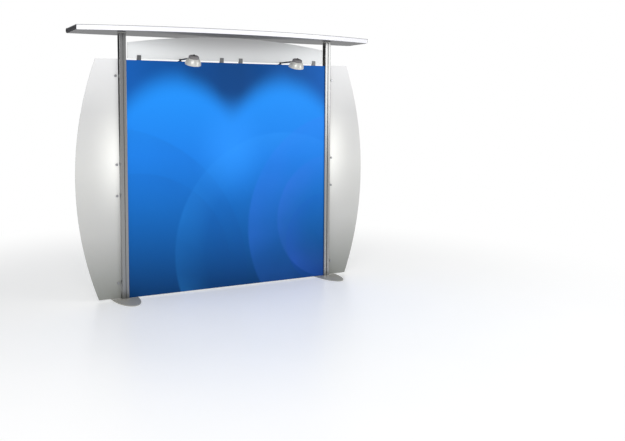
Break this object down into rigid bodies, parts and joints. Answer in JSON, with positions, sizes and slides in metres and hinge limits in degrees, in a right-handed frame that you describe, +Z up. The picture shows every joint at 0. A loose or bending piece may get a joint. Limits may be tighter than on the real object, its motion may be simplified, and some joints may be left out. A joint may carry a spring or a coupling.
{
  "type": "trade show back wall display",
  "caption": "Free-standing exhibition back wall: grooved uprights on oval base plates, printed centre panel, frosted wings and arched header, bowed canopy and arm lamps.",
  "frame": {"origin": "on the floor, under the middle of the object's overall box", "axes": "+Z up, -Y the front that a visitor faces, +X to the right as seen from the front"},
  "size_m": [2.97, 0.6888, 2.4189],
  "materials": {
    "extrusion": "satin clear-anodised aluminium extrusion",
    "plate": "powder-coated steel plate, fine texture, grey",
    "zinc_hardware": "die-cast zinc and plated steel fittings",
    "screws": "zinc-plated steel screws",
    "lamp_screws": "black-oxide steel screw",
    "printed_panel": "satin laminated printed panel, blue",
    "hook_strip": "black hook-and-loop strip",
    "frosted_header": "frosted acrylic sheet",
    "clip": "dark satin anodised aluminium clip",
    "frosted_wing": "frosted acrylic sheet",
    "bracket": "bent zinc-plated steel strip",
    "standoff": "turned satin aluminium",
    "canopy_face": "white laminated sheet",
    "canopy_end": "dark grey laminated sheet",
    "canopy_soffit": "mid grey laminated sheet",
    "canopy_skin": "light grey sheet",
    "canopy_tube": "mill-finish aluminium tube",
    "tube_cap": "black moulded plastic",
    "lamp_foot": "black powder-coated steel",
    "lamp_arm": "black powder-coated steel rod",
    "lamp_shade": "silver painted spun aluminium",
    "lamp_housing": "dark grey powder-coated die casting",
    "gland": "black moulded nylon",
    "knob": "black moulded plastic knob",
    "reflector": "bright spun reflector",
    "lampholder": "glazed ceramic",
    "bulb": "clear halogen capsule",
    "lamp_glass": "clear tempered glass disc"
  },
  "bodies": {
    "frame": {"left_upright": "extrusion", "right_upright": "extrusion", "bottom_rail": "extrusion", "middle_rail": "extrusion", "top_rail": "extrusion", "left_base_plate": "plate", "right_base_plate": "plate", "upright_top_plates": "plate", "rail_connectors": "zinc_hardware", "groove_nuts": "zinc_hardware", "upright_end_screws": "screws", "canopy_bolts": "screws", "header_clip_bolts": "screws", "groove_screws": "screws", "standoff_screws": "screws", "lamp_swivel_screws": "lamp_screws", "graphic_panel": "printed_panel", "panel_hook_strips": "hook_strip", "header_panel": "frosted_header", "header_clips": "clip", "left_wing_panel": "frosted_wing", "right_wing_panel": "frosted_wing", "wing_brackets": "bracket", "standoff_barrels": "standoff", "standoff_caps": "standoff", "canopy_fascia": "canopy_face", "canopy_end_plates": "canopy_end", "canopy_soffit": "canopy_soffit", "canopy_top_skin": "canopy_skin", "canopy_front_rail": "canopy_tube", "canopy_ribs": "canopy_tube", "canopy_back_tube": "canopy_tube", "canopy_tube_caps": "tube_cap", "lamp_feet": "lamp_foot"},
    "bottom_left_cam_body": {"bottom_left_cam": "zinc_hardware"},
    "bottom_right_cam_body": {"bottom_right_cam": "zinc_hardware"},
    "middle_left_cam_body": {"middle_left_cam": "zinc_hardware"},
    "middle_right_cam_body": {"middle_right_cam": "zinc_hardware"},
    "top_left_cam_body": {"top_left_cam": "zinc_hardware"},
    "top_right_cam_body": {"top_right_cam": "zinc_hardware"},
    "left_arm": {"left_lamp_arm": "lamp_arm"},
    "left_head": {"left_lamp_shade": "lamp_shade", "left_lamp_housing": "lamp_housing", "left_lamp_reflector": "reflector", "left_lamp_lampholder": "lampholder", "left_lamp_bulb": "bulb", "left_lamp_glass": "lamp_glass", "left_lamp_cord_gland": "gland"},
    "left_knob": {"left_lamp_tilt_knob": "knob"},
    "right_arm": {"right_lamp_arm": "lamp_arm"},
    "right_head": {"right_lamp_shade": "lamp_shade", "right_lamp_housing": "lamp_housing", "right_lamp_reflector": "reflector", "right_lamp_lampholder": "lampholder", "right_lamp_bulb": "bulb", "right_lamp_glass": "lamp_glass", "right_lamp_cord_gland": "gland"},
    "right_knob": {"right_lamp_tilt_knob": "knob"}
  },
  "joints": [
    {"name": "bottom_left_cam_turn", "type": "hinge", "parent": "frame", "child": "bottom_left_cam_body", "pos_m": [-0.99975, 0.05441, 0.05], "axis": [0, 1, 0], "range_deg": [0, 180]},
    {"name": "bottom_right_cam_turn", "type": "hinge", "parent": "frame", "child": "bottom_right_cam_body", "pos_m": [0.99975, 0.05441, 0.05], "axis": [0, 1, 0], "range_deg": [0, 180]},
    {"name": "middle_left_cam_turn", "type": "hinge", "parent": "frame", "child": "middle_left_cam_body", "pos_m": [-0.99975, 0.05441, 1.075], "axis": [0, 1, 0], "range_deg": [0, 180]},
    {"name": "middle_right_cam_turn", "type": "hinge", "parent": "frame", "child": "middle_right_cam_body", "pos_m": [0.99975, 0.05441, 1.075], "axis": [0, 1, 0], "range_deg": [0, 180]},
    {"name": "top_left_cam_turn", "type": "hinge", "parent": "frame", "child": "top_left_cam_body", "pos_m": [-0.99975, 0.05441, 2.1085], "axis": [0, 1, 0], "range_deg": [0, 180]},
    {"name": "top_right_cam_turn", "type": "hinge", "parent": "frame", "child": "top_right_cam_body", "pos_m": [0.99975, 0.05441, 2.1085], "axis": [0, 1, 0], "range_deg": [0, 180]},
    {"name": "left_lamp_swivel", "type": "hinge", "parent": "frame", "child": "left_arm", "pos_m": [-0.517, 0.03841, 2.153], "axis": [0, 0, 1], "range_deg": [-70, 70]},
    {"name": "left_lamp_tilt", "type": "hinge", "parent": "left_arm", "child": "left_head", "pos_m": [-0.517, -0.21559, 2.153], "axis": [1, 0, 0], "range_deg": [-60, 35]},
    {"name": "left_knob_turn", "type": "hinge", "parent": "left_head", "child": "left_knob", "pos_m": [-0.53, -0.21559, 2.153], "axis": [1, 0, 0], "range_deg": [-180, 180]},
    {"name": "right_lamp_swivel", "type": "hinge", "parent": "frame", "child": "right_arm", "pos_m": [0.517, 0.03841, 2.153], "axis": [0, 0, 1], "range_deg": [-70, 70]},
    {"name": "right_lamp_tilt", "type": "hinge", "parent": "right_arm", "child": "right_head", "pos_m": [0.517, -0.21559, 2.153], "axis": [1, 0, 0], "range_deg": [-60, 35]},
    {"name": "right_knob_turn", "type": "hinge", "parent": "right_head", "child": "right_knob", "pos_m": [0.53, -0.21559, 2.153], "axis": [1, 0, 0], "range_deg": [-180, 180]}
  ]
}
